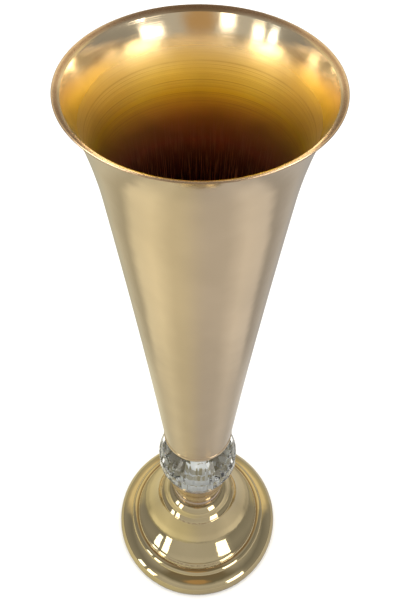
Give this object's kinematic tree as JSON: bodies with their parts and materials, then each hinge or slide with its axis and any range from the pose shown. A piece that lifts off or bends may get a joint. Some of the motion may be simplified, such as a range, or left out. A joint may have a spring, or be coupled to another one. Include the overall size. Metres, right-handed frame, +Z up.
{
  "type": "trumpet vase",
  "caption": "Tall flared metal trumpet vase standing on a faceted crystal ball and a stepped round spun base, clamped together by a central threaded rod.",
  "frame": {"origin": "centre of the underside, on the surface the vase stands on", "axes": "+Z up along the axis of the trumpet; X and Y lie on the table, the vase is round about Z"},
  "size_m": [0.1372, 0.1372, 0.4613],
  "materials": {
    "trumpet_gold": "polished champagne gold plate, warmer inside",
    "cup_gold": "polished champagne gold plate",
    "base_gold": "bright polished gold plate",
    "crystal": "clear cut crystal",
    "clear_pad": "clear soft plastic",
    "black_rubber": "matt",
    "zinc_steel": "zinc plated",
    "board": "raw pressed board",
    "felt": "black felt"
  },
  "bodies": {
    "root": {"base": "base_gold", "ball_cup": "cup_gold", "crystal_ball": "crystal", "ball_cushion": "black_rubber", "ball_pad": "clear_pad", "trumpet": "trumpet_gold", "tie_rod": "zinc_steel", "rod_nuts": "zinc_steel", "trumpet_seal": "black_rubber", "trumpet_washer": "zinc_steel", "wide_washer": "zinc_steel", "spring_washer": "zinc_steel", "base_board": "board", "felt_pad": "felt"}
  },
  "joints": []
}
